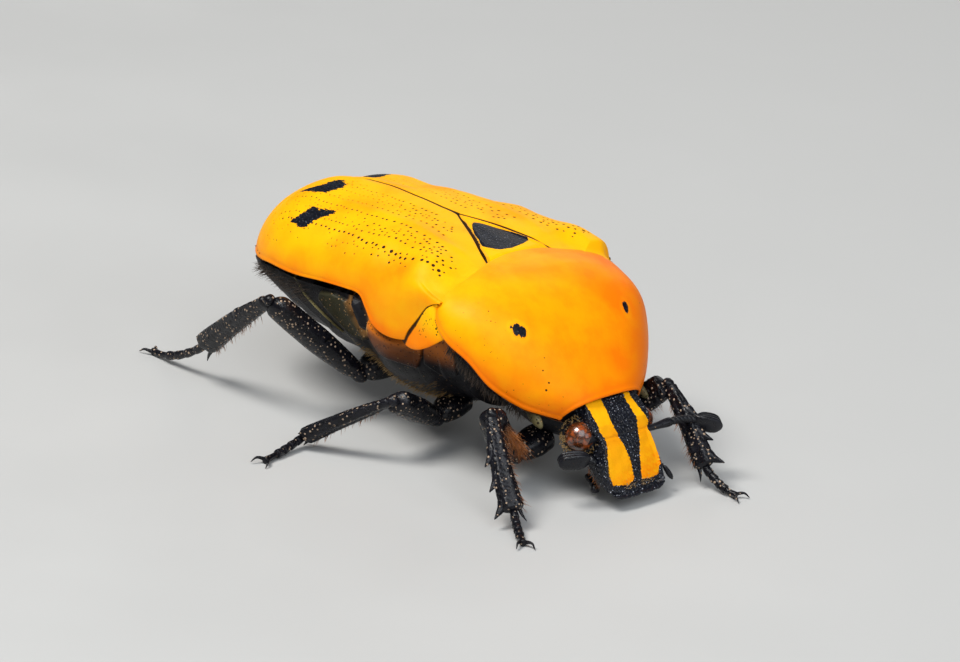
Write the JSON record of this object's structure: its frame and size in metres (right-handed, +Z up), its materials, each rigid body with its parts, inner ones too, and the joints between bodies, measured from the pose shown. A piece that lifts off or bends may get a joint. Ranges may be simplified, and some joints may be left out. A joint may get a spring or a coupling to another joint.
{
  "type": "spotted fruit beetle",
  "caption": "Life-size fruit beetle standing still, with yellow spotted wing covers, a domed yellow neck shield, a striped head and black legs.",
  "frame": {"origin": "on the floor, under the middle of the beetle's length and width", "axes": "+X towards the head, +Y towards the beetle's left, +Z up"},
  "size_m": [0.0356, 0.0282, 0.0122],
  "materials": {
    "black_shell": "glossy black hard shell, punctured",
    "yellow_shell": "satin orange-yellow hard shell",
    "orange_shell": "satin orange hard shell",
    "eye_brown": "glossy reddish brown"
  },
  "bodies": {
    "root": {"belly": "black_shell", "eye_left": "eye_brown", "eye_right": "eye_brown", "feeler_left": "black_shell", "feeler_right": "black_shell", "foot_fore_left": "black_shell", "foot_fore_right": "black_shell", "foot_hind_left": "black_shell", "foot_hind_right": "black_shell", "foot_mid_left": "black_shell", "foot_mid_right": "black_shell", "fore_chest": "yellow_shell", "head": "black_shell", "hind_chest": "black_shell", "palp_left": "black_shell", "palp_right": "black_shell", "scutellum": "black_shell", "shin_fore_left": "black_shell", "shin_fore_right": "black_shell", "shin_hind_left": "black_shell", "shin_hind_right": "black_shell", "shin_mid_left": "black_shell", "shin_mid_right": "black_shell", "side_plate_left": "orange_shell", "side_plate_right": "orange_shell", "tail_plate": "black_shell", "thigh_fore_left": "black_shell", "thigh_fore_right": "black_shell", "thigh_hind_left": "black_shell", "thigh_hind_right": "black_shell", "thigh_mid_left": "black_shell", "thigh_mid_right": "black_shell", "wing_cover_left": "yellow_shell", "wing_cover_right": "yellow_shell"}
  },
  "joints": []
}
